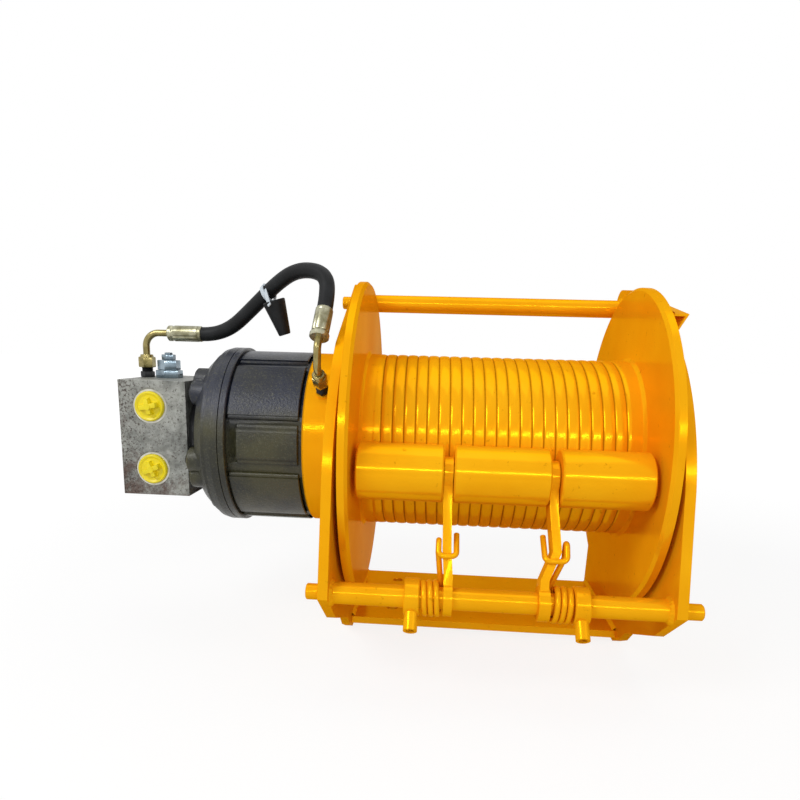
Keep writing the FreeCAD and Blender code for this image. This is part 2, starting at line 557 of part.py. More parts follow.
# Axle and the three press rollers
axle_end = half - MOVING_GAP
keep("roller_axle", rod_x(AXLE_RADIUS, -axle_end, axle_end, ROLLER_Y, ROLLER_Z))
arm_half = ARM_THICK / 2.0 + ARM_END_GAP
arm_left_x = ARM_LEFT_BENDS[-1][1]
arm_right_x = ARM_RIGHT_BENDS[-1][1]
spans = (("roller_left", -axle_end, arm_left_x - arm_half),
         ("roller_middle", arm_left_x + arm_half, arm_right_x - arm_half),
         ("roller_right", arm_right_x + arm_half, axle_end))
for name, x0, x1 in spans:
    bore = AXLE_RADIUS + RUN_PLAY
    shape = [(x0, bore), (x0, ROLLER_RADIUS - ROLLER_BEVEL), (x0 + ROLLER_BEVEL, ROLLER_RADIUS)]
    shape += [(x1 - ROLLER_BEVEL, ROLLER_RADIUS), (x1, ROLLER_RADIUS - ROLLER_BEVEL), (x1, bore)]
    keep(name, turned_x(shape, ROLLER_Y, ROLLER_Z))


def torsion_spring(coil_end, hook_near, hook_far, hook_rise, free_rise):
    """Coil between clamp and arm, its leg climbing behind the arm and hooking round the arm's front."""
    coil = Part.makeHelix(COIL_PITCH, COIL_LENGTH, COIL_RADIUS)
    circle = Part.Wire([Part.makeCircle(WIRE_RADIUS, V(COIL_RADIUS, 0.0, 0.0), V(0.0, 1.0, 0.0))])
    coil = Part.Wire(coil.Edges).makePipeShell([circle], True, True)
    coil.rotate(V(0.0, 0.0, 0.0), V(0.0, 0.0, 1.0), 360.0 * (1.0 - COIL_TURNS % 1.0))
    turn = FreeCAD.Rotation(V(0.0, 1.0, 0.0), V(0.0, 0.0, 1.0), V(1.0, 0.0, 0.0), "ZXY")
    coil_start = V(-coil_end - COIL_LENGTH, ROD_Y, ROD_Z)
    coil.Placement = FreeCAD.Placement(coil_start, turn).multiply(coil.Placement)
    front = -(ARM_WIDTH / 2.0 + WIRE_RADIUS + 0.5)

    def at(x, along_side, up):
        """Point beside the arm."""
        return V(x, ROD_Y, ROD_Z) + arm_side * along_side + arm_way * up

    leg_foot = V(-coil_end, ROD_Y + COIL_RADIUS, ROD_Z)
    leg_top = V(-hook_near, ROD_Y + COIL_RADIUS, ROD_Z + hook_rise)
    leg_knee = V(-hook_near, ROD_Y + COIL_RADIUS, ROD_Z + LEG_KNEE)
    route = [leg_foot, leg_foot + V(0.0, 0.0, 12.0), leg_knee, leg_top, at(-hook_near, front, HOOK_HEIGHT),
             at(-hook_far, front, HOOK_HEIGHT), at(-hook_far, 3.0, HOOK_HEIGHT + free_rise)]
    leg = swept_round(rounded_route(route, [8.0, 8.0, 4.5, 5.5, 5.5]), WIRE_RADIUS)
    return coil.fuse(leg)


keep("spring_left", torsion_spring(coil_end_left, 58.8, 41.5, HOOK_RISE, 22.0))
spring_right = torsion_spring(coil_end_right, 63.4, 42.6, HOOK_RISE + 5.0, 24.0)
keep("spring_right", spring_right.mirror(V(0.0, 0.0, 0.0), X_AXIS))

os.makedirs("parts", exist_ok=True)
for name in sorted(made):
    shape = made[name].copy()
    shape.translate(V(0.0, -BOLT_CENTRE_Y, -BASE_UNDER))
    solids = len(shape.Solids)
    box = shape.BoundBox
    print(name, "solids", solids, "valid", shape.isValid(), "volume", round(shape.Volume),
          [round(v, 1) for v in (box.XMin, box.XMax, box.YMin, box.YMax, box.ZMin, box.ZMax)])
    shape.exportStep("parts/%s.step" % name)
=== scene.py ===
import json
import math

import bmesh
import bpy
from bpy.props import FloatProperty, FloatVectorProperty, IntProperty, PointerProperty
from mathutils import Matrix, Vector


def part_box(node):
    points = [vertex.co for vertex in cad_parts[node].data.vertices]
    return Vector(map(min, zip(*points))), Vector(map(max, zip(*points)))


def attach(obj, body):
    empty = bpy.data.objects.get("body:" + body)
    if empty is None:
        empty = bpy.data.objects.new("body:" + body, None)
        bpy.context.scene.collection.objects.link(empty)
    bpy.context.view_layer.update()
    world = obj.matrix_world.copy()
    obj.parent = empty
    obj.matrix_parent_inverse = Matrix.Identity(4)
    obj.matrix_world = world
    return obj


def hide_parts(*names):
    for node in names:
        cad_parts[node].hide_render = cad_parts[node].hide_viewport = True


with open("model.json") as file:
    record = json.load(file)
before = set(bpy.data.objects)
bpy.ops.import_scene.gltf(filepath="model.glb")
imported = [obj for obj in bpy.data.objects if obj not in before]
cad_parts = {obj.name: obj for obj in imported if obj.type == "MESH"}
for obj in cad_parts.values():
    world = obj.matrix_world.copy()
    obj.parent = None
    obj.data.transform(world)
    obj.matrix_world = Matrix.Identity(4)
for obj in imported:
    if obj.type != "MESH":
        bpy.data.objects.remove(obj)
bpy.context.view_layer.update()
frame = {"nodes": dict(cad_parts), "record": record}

bl_info = {
    "name": "Hydraulic winch looks",
    "version": (1, 0, 0),
    "blender": (4, 5, 0),
    "location": "View3D > Sidebar > Winch",
    "description": "Dresses the packed hydraulic winch with its rope drum, fittings, hose and finishes",
    "category": "Object",
}

# Places and sizes that several pieces share, in metres
DRUM_Y = -0.065
DRUM_Z = 0.231
DRUM_HALF = 0.1475
GROOVE_FLOOR = 0.0985
BASE_TOP = 0.009
FOOT_DROP = 0.009
PLATE_INNER = 0.1625
PLATE_OUTER = 0.1725
TIE_BAR_YZ = (0.0448, 0.3949)
PRESS_ROD_YZ = (-0.2385, 0.102)
TUBE_LINE_Y = -0.065
PORT_FACE_Y = -0.126
HOSE_ROUTE = ((-0.3482, -0.065, 0.3483), (-0.334, -0.065, 0.3483), (-0.309, -0.072, 0.357),
              (-0.284, -0.081, 0.377), (-0.249, -0.097, 0.4055), (-0.225, -0.110, 0.4175),
              (-0.200, -0.125, 0.4165), (-0.186, -0.136, 0.407), (-0.18461, -0.14659, 0.38662),
              (-0.18552, -0.15402, 0.37514))
MERGED = 1e-6
ALONG_X = Vector((1.0, 0.0, 0.0))
UP = Vector((0.0, 0.0, 1.0))


def srgb(red, green, blue):
    """Linear colour of a colour written as 0 to 255."""
    out = []
    for value in (red, green, blue):
        part = value / 255.0
        out.append(part / 12.92 if part <= 0.04045 else ((part + 0.055) / 1.055) ** 2.4)
    return tuple(out)


# Sizes and colours


class WinchSizes(bpy.types.PropertyGroup):
    """Sizes of the dressed pieces."""

    groove_pitch: FloatProperty(name="Groove pitch", description="Distance between two rope grooves",
                                default=0.0121, unit="LENGTH")
    groove_depth: FloatProperty(name="Groove depth", description="Depth of a rope groove",
                                default=0.0015, unit="LENGTH")
    drum_radius: FloatProperty(name="Drum radius", description="Radius over the groove crests",
                               default=0.100, unit="LENGTH")
    hose_radius: FloatProperty(name="Hose radius", description="Outer radius of the brake hose",
                               default=0.0082, unit="LENGTH")
    plug_radius: FloatProperty(name="Plug radius", description="Rim radius of a port plug",
                               default=0.017, unit="LENGTH")
    turn_steps: IntProperty(name="Turn steps", description="Steps of a full turn on a large round piece",
                            default=96, min=12, max=256)


class WinchColours(bpy.types.PropertyGroup):
    """Colours of the finishes."""

    paint: FloatVectorProperty(name="Yellow paint", description="Colour of the painted steel",
                               subtype="COLOR", size=3, default=srgb(250, 180, 22), min=0.0, max=1.0)
    paint_shade: FloatVectorProperty(name="Thick paint", description="Colour where the paint lies thicker",
                                     subtype="COLOR", size=3, default=srgb(242, 164, 14), min=0.0, max=1.0)
    casting: FloatVectorProperty(name="Dark casting", description="Colour of the reducer's dark paint",
                                 subtype="COLOR", size=3, default=srgb(18, 20, 20), min=0.0, max=1.0)
    black: FloatVectorProperty(name="Black steel", description="Colour of the blackened steel",
                               subtype="COLOR", size=3, default=srgb(18, 18, 20), min=0.0, max=1.0)
    raw_metal: FloatVectorProperty(name="Raw casting", description="Colour of the unpainted motor block",
                                   subtype="COLOR", size=3, default=srgb(146, 147, 140), min=0.0, max=1.0)
    plastic: FloatVectorProperty(name="Plug plastic", description="Colour of the port plugs",
                                 subtype="COLOR", size=3, default=srgb(244, 224, 24), min=0.0, max=1.0)
    zinc: FloatVectorProperty(name="Zinc", description="Colour of the bright zinc plating",
                              subtype="COLOR", size=3, default=srgb(150, 166, 176), min=0.0, max=1.0)
    yellow_zinc: FloatVectorProperty(name="Yellow zinc", description="Colour of the yellow zinc plating",
                                     subtype="COLOR", size=3, default=srgb(170, 156, 102), min=0.0, max=1.0)
    rubber: FloatVectorProperty(name="Rubber", description="Colour of the hose and the stopper",
                                subtype="COLOR", size=3, default=srgb(20, 21, 22), min=0.0, max=1.0)
    strap: FloatVectorProperty(name="Strap", description="Colour of the cable tie",
                               subtype="COLOR", size=3, default=srgb(205, 215, 222), min=0.0, max=1.0)


# Shading helpers


def new_finish(name, roughness, metallic=0.0):
    """Material with its shader and an object coordinate to read patterns from."""
    material = bpy.data.materials.new(name + "_finish")
    material.use_nodes = True
    shader = material.node_tree.nodes["Principled BSDF"]
    shader.inputs["Roughness"].default_value = roughness
    shader.inputs["Metallic"].default_value = metallic
    coords = material.node_tree.nodes.new("ShaderNodeTexCoord")
    return material, material.node_tree, shader, coords


def cloudiness(tree, coords, scale, detail=4.0, roughness=0.55, distortion=0.0):
    """Noise read in object space."""
    node = tree.nodes.new("ShaderNodeTexNoise")
    node.inputs["Scale"].default_value = scale
    node.inputs["Detail"].default_value = detail
    node.inputs["Roughness"].default_value = roughness
    node.inputs["Distortion"].default_value = distortion
    tree.links.new(coords.outputs["Object"], node.inputs["Vector"])
    return node.outputs["Fac"]


def stepped(tree, value, low, high, out_low=0.0, out_high=1.0):
    """Value mapped from one range to another and held inside it."""
    node = tree.nodes.new("ShaderNodeMapRange")
    node.inputs["From Min"].default_value = low
    node.inputs["From Max"].default_value = high
    node.inputs["To Min"].default_value = out_low
    node.inputs["To Max"].default_value = out_high
    tree.links.new(value, node.inputs["Value"])
    return node.outputs["Result"]


def tinted(tree, factor, first, second):
    """Colour between two colours or sockets."""
    node = tree.nodes.new("ShaderNodeMix")
    node.data_type = "RGBA"
    tree.links.new(factor, node.inputs["Factor"])
    for key, value in (("A", first), ("B", second)):
        socket = next(s for s in node.inputs if s.name == key and s.type == "RGBA")
        if isinstance(value, bpy.types.NodeSocket):
            tree.links.new(value, socket)
        else:
            socket.default_value = (*value, 1.0)
    return next(s for s in node.outputs if s.type == "RGBA")


def relief(tree, shader, height, strength, distance):
    """Bump on the shader's normal."""
    node = tree.nodes.new("ShaderNodeBump")
    node.inputs["Strength"].default_value = strength
    node.inputs["Distance"].default_value = distance
    tree.links.new(height, node.inputs["Height"])
    tree.links.new(node.outputs["Normal"], shader.inputs["Normal"])


def reckoned(tree, operation, *values, kind="ShaderNodeMath", output="Value"):
    """Result of a math node on numbers and sockets."""
    node = tree.nodes.new(kind)
    node.operation = operation
    for socket, value in zip(node.inputs, values):
        if isinstance(value, bpy.types.NodeSocket):
            tree.links.new(value, socket)
        else:
            socket.default_value = value
    return node.outputs[output]


def split_place(tree, coords):
    """Object coordinate as separate outputs X, Y and Z."""
    node = tree.nodes.new("ShaderNodeSeparateXYZ")
    tree.links.new(coords.outputs["Object"], node.inputs["Vector"])
    return node.outputs


def seen_background(tree):
    """Share of the rays that see the background itself: from the camera, a mirror or glass."""
    path = tree.nodes.new("ShaderNodeLightPath")
    seen = path.outputs["Is Camera Ray"]
    for key in ("Is Glossy Ray", "Is Transmission Ray"):
        seen = reckoned(tree, "MAXIMUM", seen, path.outputs[key])
    return seen


def darker(colour, share):
    """Colour scaled towards black."""
    return tuple(part * share for part in colour)


# Finishes


def paint_finish(colours, name="yellow_paint", groove_floor=0.0):
    """Glossy yellow paint with soft clouds, specks and faint orange peel, with painted shade darkening the
    groove valleys down to the given groove floor.
    """
    material, tree, shader, coords = new_finish(name, 0.3, 0.25)
    broad = cloudiness(tree, coords, 9.0, 3.0)
    fine = cloudiness(tree, coords, 120.0, 6.0, 0.65)
    base = tinted(tree, stepped(tree, broad, 0.35, 0.7), tuple(colours.paint), tuple(colours.paint_shade))
    specks = stepped(tree, fine, 0.64, 0.7, 0.0, 0.8)
    if groove_floor:
        from_axis = reckoned(tree, "MULTIPLY_ADD", coords.outputs["Object"], (0.0, 1.0, 1.0),
                             (0.0, -DRUM_Y, -DRUM_Z), kind="ShaderNodeVectorMath", output="Vector")
        reach = reckoned(tree, "LENGTH", from_axis, kind="ShaderNodeVectorMath")
        # Painted shade: near the groove floor the paint turns to a dark shade of itself
        groove_shade = stepped(tree, reach, groove_floor + 0.0009, groove_floor, 0.0, 0.85)
        base = tinted(tree, groove_shade, base, darker(colours.paint_shade, 0.4))
    tree.links.new(tinted(tree, specks, base, darker(colours.paint_shade, 0.7)), shader.inputs["Base Color"])
    tree.links.new(stepped(tree, broad, 0.3, 0.75, 0.12, 0.22), shader.inputs["Roughness"])
    relief(tree, shader, cloudiness(tree, coords, 260.0, 3.0), 0.10, 0.0005)
    shader.inputs["Specular IOR Level"].default_value = 0.0
    shader.inputs["Specular Tint"].default_value = (*srgb(250, 190, 60), 1.0)
    return material


def casting_finish(colours):
    """Dark paint over a cast skin, with a painted bluish reflection above and a painted olive reflection
    below, and worn specks.
    """
    material, tree, shader, coords = new_finish("dark_casting", 0.42)
    broad = cloudiness(tree, coords, 14.0, 4.0)
    # Painted reflection: bluish above and olive below, split by height with a little noise
    reflection_height = reckoned(tree, "MULTIPLY_ADD", broad, 0.05, split_place(tree, coords)["Z"])
    lower = stepped(tree, reflection_height, 0.295, 0.270)
    base = tinted(tree, lower, srgb(22, 28, 46), srgb(62, 60, 34))
    base = tinted(tree, stepped(tree, broad, 0.42, 0.6, 0.0, 0.8), base, tuple(colours.casting))
    worn = stepped(tree, cloudiness(tree, coords, 430.0, 6.0, 0.8), 0.53, 0.62, 0.0, 0.55)
    tree.links.new(tinted(tree, worn, base, srgb(88, 88, 66)), shader.inputs["Base Color"])
    tree.links.new(stepped(tree, broad, 0.3, 0.75, 0.26, 0.42), shader.inputs["Roughness"])
    relief(tree, shader, cloudiness(tree, coords, 460.0, 5.0, 0.65), 0.5, 0.001)
    shader.inputs["Specular IOR Level"].default_value = 0.4
    return material


def black_finish(colours):
    """Blackened steel with a dull sheen."""
    material, tree, shader, coords = new_finish("black_steel", 0.45)
    shader.inputs["Specular IOR Level"].default_value = 0.25
    broad = cloudiness(tree, coords, 60.0, 5.0)
    tree.links.new(tinted(tree, stepped(tree, broad, 0.4, 0.75), tuple(colours.black), srgb(44, 44, 46)),
                   shader.inputs["Base Color"])
    relief(tree, shader, cloudiness(tree, coords, 500.0, 3.0), 0.15, 0.0004)
    return material


def raw_metal_finish(colours):
    """Bare grey casting with machining haze, a brown stain and rust specks."""
    material, tree, shader, coords = new_finish("bare_casting", 0.5, 0.3)
    broad = cloudiness(tree, coords, 26.0, 6.0, 0.65)
    base = tinted(tree, stepped(tree, broad, 0.36, 0.66), tuple(colours.raw_metal), srgb(92, 94, 90))
    haze = stepped(tree, cloudiness(tree, coords, 90.0, 6.0, 0.7), 0.42, 0.68, 0.0, 0.55)
    base = tinted(tree, haze, base, srgb(186, 188, 182))
    place = split_place(tree, coords)
    low_left = reckoned(tree, "ADD", stepped(tree, place["Z"], 0.245, 0.170, 0.0, 0.16),
                        stepped(tree, place["X"], -0.405, -0.425, 0.0, 0.09))
    cloud = reckoned(tree, "ADD", cloudiness(tree, coords, 34.0, 7.0, 0.75, 0.5), low_left)
    stain = stepped(tree, cloud, 0.6, 0.74, 0.0, 0.9)
    base = tinted(tree, stain, base, srgb(84, 66, 58))
    dirt = reckoned(tree, "ADD", cloudiness(tree, coords, 420.0, 4.0, 0.75),
                    stepped(tree, place["X"], -0.395, -0.425, 0.0, 0.07))
    specks = stepped(tree, dirt, 0.575, 0.63, 0.0, 0.9)
    tree.links.new(tinted(tree, specks, base, srgb(54, 40, 34)), shader.inputs["Base Color"])
    relief(tree, shader, cloudiness(tree, coords, 300.0, 6.0, 0.65), 0.45, 0.0008)
    return material


def plastic_finish(name, colour, roughness):
    """Moulded plastic with a faint skin."""
    material, tree, shader, coords = new_finish(name, roughness)
    broad = cloudiness(tree, coords, 45.0, 2.0)
    tree.links.new(tinted(tree, stepped(tree, broad, 0.3, 0.75), tuple(colour), darker(colour, 0.86)),
                   shader.inputs["Base Color"])
    relief(tree, shader, cloudiness(tree, coords, 700.0, 2.0), 0.08, 0.0003)
    return material


def plated_finish(name, colour, second, roughness):
    """Plated steel whose passivation drifts in tint."""
    material, tree, shader, coords = new_finish(name, roughness, 0.7)
    broad = cloudiness(tree, coords, 70.0, 3.0, 0.6, 0.5)
    tree.links.new(tinted(tree, stepped(tree, broad, 0.35, 0.68), tuple(colour), second),
                   shader.inputs["Base Color"])
    tree.links.new(stepped(tree, broad, 0.3, 0.7, roughness * 0.8, roughness * 1.25),
                   shader.inputs["Roughness"])
    return material


def rubber_finish(colours):
    """Black rubber with a dusty bloom."""
    material, tree, shader, coords = new_finish("black_rubber", 0.5)
    broad = cloudiness(tree, coords, 55.0, 4.0)
    tree.links.new(tinted(tree, stepped(tree, broad, 0.4, 0.8), tuple(colours.rubber), srgb(36, 38, 40)),
                   shader.inputs["Base Color"])
    relief(tree, shader, cloudiness(tree, coords, 900.0, 2.0), 0.15, 0.0003)
    shader.inputs["Specular IOR Level"].default_value = 0.18
    return material


def finish_for(slot):
    """Material of a slot, made when it is first asked for."""
    found = bpy.data.materials.get(slot + "_finish")
    if found:
        return found
    colours = bpy.context.scene.winch_colours
    makers = {
        "yellow_paint": lambda: paint_finish(colours),
        "drum_paint_groove_shade": lambda: paint_finish(colours, "drum_paint_groove_shade", GROOVE_FLOOR),
        "spot_face": lambda: plated_finish("spot_face", srgb(216, 215, 206), srgb(172, 172, 164), 0.4),
        "ferrule_zinc": lambda: plated_finish("ferrule_zinc", srgb(186, 184, 158), srgb(118, 114, 84), 0.28),
        "dark_casting": lambda: casting_finish(colours),
        "black_steel": lambda: black_finish(colours),
        "bare_casting": lambda: raw_metal_finish(colours),
        "yellow_plastic": lambda: plastic_finish("yellow_plastic", colours.plastic, 0.35),
        "zinc": lambda: plated_finish("zinc", colours.zinc, srgb(92, 108, 120), 0.18),
        "yellow_zinc": lambda: plated_finish("yellow_zinc", colours.yellow_zinc, srgb(112, 102, 58), 0.24),
        "black_rubber": lambda: rubber_finish(colours),
        "white_plastic": lambda: plastic_finish("white_plastic", colours.strap, 0.4),
    }
    return makers[slot]()


# Modelling helpers


def add_piece(name, work, slot, body, replaced=(), crease=35.0, finish=None):
    """Finished piece from a bmesh: doubles merged, faces turned outwards, placed on its body."""
    bmesh.ops.remove_doubles(work, verts=work.verts, dist=MERGED)
    bmesh.ops.recalc_face_normals(work, faces=work.faces)
    mesh = bpy.data.meshes.new(name)
    work.to_mesh(mesh)
    work.free()
    mesh.polygons.foreach_set("use_smooth", [True] * len(mesh.polygons))
    mesh.set_sharp_from_angle(angle=math.radians(crease))
    piece = bpy.data.objects.new(name, mesh)
    bpy.context.scene.collection.objects.link(piece)
    piece.data.materials.append(finish_for(finish or slot))
    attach(piece, body)
    if replaced:
        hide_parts(*replaced)
    return piece


def towards(point, direction):
    """Matrix that puts a piece built along Z at a point, facing a direction."""
    turn = Vector(direction).to_track_quat("Z", "Y").to_matrix().to_4x4()
    return Matrix.Translation(Vector(point)) @ turn


def lathe(work, profile, place, steps=32, closed=True):
    """Turned form about Z from (radius, height) pairs, put in place."""
    verts = [work.verts.new((r, 0.0, h)) for r, h in profile]
    edges = [work.edges.new((verts[k], verts[k + 1])) for k in range(len(verts) - 1)]
    if closed:
        edges.append(work.edges.new((verts[-1], verts[0])))
    before = set(work.verts) - set(verts)
    bmesh.ops.spin(work, geom=verts + edges, cent=(0, 0, 0), axis=(0, 0, 1), dvec=(0, 0, 0),
                   angle=2.0 * math.pi, steps=steps, use_merge=True, use_normal_flip=False,
                   use_duplicate=False)
    bmesh.ops.remove_doubles(work, verts=[v for v in work.verts if v not in before], dist=MERGED)
    made = [v for v in work.verts if v not in before]
    bmesh.ops.transform(work, matrix=place, verts=made)
    return made


def bevelled(work, verts, rims, offset):
    """Vertices of a small solid after the given edges of it are rounded over."""
    made = bmesh.ops.bevel(work, geom=rims, offset=offset, offset_type="OFFSET", segments=2,
                           profile=0.5, affect="EDGES", material=-1)
    return list({v for v in verts if v.is_valid} | set(made["verts"]))


def hexagon(work, across, height, place, chamfer):
    """Hexagon bar with its upper and lower rims rounded over, built along Z."""
    corner = across / math.sqrt(3.0)
    made = bmesh.ops.create_cone(work, cap_ends=True, segments=6, radius1=corner, radius2=corner,
                                 depth=height)["verts"]
    bmesh.ops.translate(work, vec=(0, 0, height / 2.0), verts=made)
    rims = [e for e in work.edges if e.verts[0] in made and e.verts[1] in made
            and abs(e.verts[0].co.z - e.verts[1].co.z) < MERGED]
    bmesh.ops.transform(work, matrix=place, verts=bevelled(work, made, rims, chamfer))


def socket_screw(work, radius, height, place):
    """Cylinder head with a socket in it."""
    socket = radius * 0.55
    depth = height * 0.4
    edge = 0.0006
    lathe(work, [(0.0, 0.0), (radius, 0.0), (radius, height - edge), (radius - edge, height),
                 (socket, height), (socket, depth), (0.0, depth)], place, 24, closed=False)


def round_axis(x, radius, degrees):
    """Point about the drum's axis, counted upwards from the side of the press rollers."""
    angle = math.radians(degrees)
    return (x, DRUM_Y - radius * math.cos(angle), DRUM_Z + radius * math.sin(angle))


def softened(node, offset, body="frame", slot="yellow_paint", shape=None):
    """Copy of a frame node with its sharp edges rounded over, standing for that node."""
    flat, sharp_from, crease = math.radians(1.0), math.radians(40.0), 20.0
    work = bmesh.new()
    work.from_mesh(frame["nodes"][node].data)
    bmesh.ops.remove_doubles(work, verts=work.verts, dist=MERGED)
    if shape:
        shape(work)
    bmesh.ops.dissolve_limit(work, angle_limit=flat, use_dissolve_boundaries=False,
                             verts=work.verts, edges=work.edges)
    sharp = [e for e in work.edges if len(e.link_faces) == 2 and e.calc_face_angle() > sharp_from]
    bmesh.ops.bevel(work, geom=sharp, offset=offset, offset_type="OFFSET", segments=2,
                    profile=0.5, affect="EDGES", material=-1, clamp_overlap=True)
    add_piece(node + "_soft", work, slot, body, (node,), crease)


def deepened_recesses(work):
    """Press the skin between the reducer's lobes in, as the casting's draft leaves it."""
    skin_low, skin_high, pressed = 0.0960, 0.0975, 0.0950
    flange_face = -0.2095
    for vert in work.verts:
        reach = math.hypot(vert.co.y - DRUM_Y, vert.co.z - DRUM_Z)
        if skin_low < reach < skin_high and vert.co.x < flange_face:
            vert.co.y = DRUM_Y + (vert.co.y - DRUM_Y) * pressed / reach
            vert.co.z = DRUM_Z + (vert.co.z - DRUM_Z) * pressed / reach


def weld_ring(work, radius, leg, place):
    """Rippled fillet round a bar where it meets a plate."""
    inside, under = radius - 0.0005, -0.0004
    profile = [(inside, under), (radius + leg, under), (radius + leg * 0.55, leg * 0.5), (inside, leg)]
    made = lathe(work, profile, Matrix.Identity(4), 72)
    for vert in made:
        angle = math.atan2(vert.co.y, vert.co.x)
        ripple = 0.00022 * math.sin(angle * 18.0) + 0.00012 * math.sin(angle * 7.0 + 1.0)
        if vert.co.z > 0.0:
            vert.co.z += ripple
            vert.co.x += ripple * math.cos(angle)
            vert.co.y += ripple * math.sin(angle)
    bmesh.ops.transform(work, matrix=place, verts=made)


def weld_line(work, start, end, out, rise, leg):
    """Rippled fillet along a straight corner."""
    length = (end - start).length
    step, wave, under = 0.0016, 0.0022, -0.0004
    steps = max(12, int(length / step))
    grid = bmesh.ops.create_grid(work, x_segments=steps, y_segments=3, size=0.5)["verts"]
    rows = {}
    for vert in grid:
        rows.setdefault(round(vert.co.y, 3), []).append(vert)
    section = ((under, leg), (leg * 0.34, leg * 0.62), (leg * 0.62, leg * 0.34), (leg, under))
    for key, (go_out, go_up) in zip(sorted(rows), section):
        for vert in rows[key]:
            share = vert.co.x + 0.5
            ripple = 1.0 + 0.07 * math.sin(share * length / wave) + 0.05 * math.sin(share * 17.0)
            vert.co = start.lerp(end, share) + (out * go_out + rise * go_up) * ripple


# Operators


class WINCH_OT_camera(bpy.types.Operator):
    """Set the camera at the photograph's angle"""

    bl_idname = "winch.camera"
    bl_label = "Camera"

    def execute(self, context):
        place = (-0.06319, -0.81865, 0.33951)
        yaw, pitch, roll = math.radians(-3.9), math.radians(12.56), math.radians(1.63)
        forward = Vector((math.sin(yaw) * math.cos(pitch), math.cos(yaw) * math.cos(pitch), -math.sin(pitch)))
        right = Vector((math.cos(yaw), -math.sin(yaw), 0.0))
        upward = right.cross(forward)
        side = right * math.cos(roll) + upward * math.sin(roll)
        top = upward * math.cos(roll) - right * math.sin(roll)
        lens = bpy.data.cameras.new("camera")
        lens.sensor_width = 36.0
        lens.lens = 28.445
        lens.shift_x = 0.0068
        lens.shift_y = 0.1101
        camera = bpy.data.objects.new("camera", lens)
        context.scene.collection.objects.link(camera)
        turn = Matrix((side, top, -forward)).transposed().to_4x4()
        camera.matrix_world = Matrix.Translation(place) @ turn
        context.scene.camera = camera
        return {"FINISHED"}


class WINCH_OT_brake_hose(bpy.types.Operator):
    """Lay the brake hose between its two ferrules"""

    bl_idname = "winch.brake_hose"
    bl_label = "Brake hose"

    def execute(self, context):
        curve = bpy.data.curves.new("hose", "CURVE")
        curve.dimensions = "3D"
        spline = curve.splines.new("NURBS")
        spline.points.add(len(HOSE_ROUTE) - 1)
        for point, place in zip(spline.points, HOSE_ROUTE):
            point.co = (*place, 1.0)
        spline.order_u = 3
        spline.use_endpoint_u = True
        spline.resolution_u = 12
        curve.bevel_depth = context.scene.winch_sizes.hose_radius
        curve.bevel_resolution = 8
        curve.use_fill_caps = True
        hose = bpy.data.objects.new("hose", curve)
        context.scene.collection.objects.link(hose)
        hose.data.materials.append(finish_for("black_rubber"))
        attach(hose, "frame")
        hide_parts("brake_hose")
        return {"FINISHED"}


class WINCH_OT_stage(bpy.types.Operator):
    """Lay the pale floor and hang the soft lamps"""

    bl_idname = "winch.stage"
    bl_label = "Stage"

    def execute(self, context):
        floor_radius, clearance = 14.0, 0.0005
        work = bmesh.new()
        bmesh.ops.create_circle(work, cap_ends=True, segments=64, radius=floor_radius)
        bmesh.ops.translate(work, vec=(0.0, 0.0, -FOOT_DROP - clearance), verts=work.verts)
        mesh = bpy.data.meshes.new("floor")
        work.to_mesh(mesh)
        work.free()
        floor = bpy.data.objects.new("floor", mesh)
        context.scene.collection.objects.link(floor)
        material = bpy.data.materials.new("pale_floor")
        material.use_nodes = True
        tree = material.node_tree
        shader = tree.nodes["Principled BSDF"]
        shader.inputs["Base Color"].default_value = (0.6, 0.6, 0.6, 1.0)
        shader.inputs["Roughness"].default_value = 0.9
        glow = tree.nodes.new("ShaderNodeEmission")
        place = tree.nodes.new("ShaderNodeTexCoord")
        reach = reckoned(tree, "LENGTH", place.outputs["Object"], kind="ShaderNodeVectorMath")
        tree.links.new(stepped(tree, reach, 0.6, 2.4, 1.2, 1.42), glow.inputs["Strength"])
        mix = tree.nodes.new("ShaderNodeMixShader")
        tree.links.new(reckoned(tree, "MULTIPLY", seen_background(tree), 0.7), mix.inputs["Fac"])
        tree.links.new(shader.outputs["BSDF"], mix.inputs[1])
        tree.links.new(glow.outputs["Emission"], mix.inputs[2])
        tree.links.new(mix.outputs["Shader"], tree.nodes["Material Output"].inputs["Surface"])
        floor.data.materials.append(material)

        sky_light, sky_seen = 0.36, 1.0
        world = bpy.data.worlds.new("soft_sky")
        context.scene.world = world
        world.use_nodes = True
        tree = world.node_tree
        level = stepped(tree, seen_background(tree), 0.0, 1.0, sky_light, sky_seen)
        back = tree.nodes["Background"]
        back.inputs["Color"].default_value = (1.0, 1.0, 1.0, 1.0)
        tree.links.new(level, back.inputs["Strength"])

        target = Vector((-0.05, -0.1, 0.2))
        lamps = (("key", (-1.5, -1.5, 1.7), 1.0, 1.0, 25.0), ("fill", (1.4, -1.5, 0.8), 1.2, 1.2, 3.5),
                 ("strip", (0.25, -2.2, 1.05), 2.2, 0.05, 10.0), ("top", (0.1, 0.2, 2.4), 1.6, 1.6, 8.0))
        for name, place, width, depth, power in lamps:
            lamp = bpy.data.lights.new(name, "AREA")
            lamp.shape = "RECTANGLE"
            lamp.size = width
            lamp.size_y = depth
            lamp.energy = power
            item = bpy.data.objects.new(name, lamp)
            context.scene.collection.objects.link(item)
            turn = (target - Vector(place)).to_track_quat("-Z", "Y").to_matrix().to_4x4()
            item.matrix_world = Matrix.Translation(place) @ turn
        context.scene.view_settings.view_transform = "Standard"
        return {"FINISHED"}


class WINCH_OT_finishes(bpy.types.Operator):
    """Give every frame node its finish"""

    bl_idname = "winch.finishes"
    bl_label = "Finishes"

    def execute(self, context):
        for part in frame["record"]["subparts"]:
            node = frame["nodes"][part["node"]]
            finish = finish_for(part["material_slot"])
            if node.material_slots:
                for slot in node.material_slots:
                    slot.material = finish
            else:
                node.data.materials.append(finish)
        return {"FINISHED"}


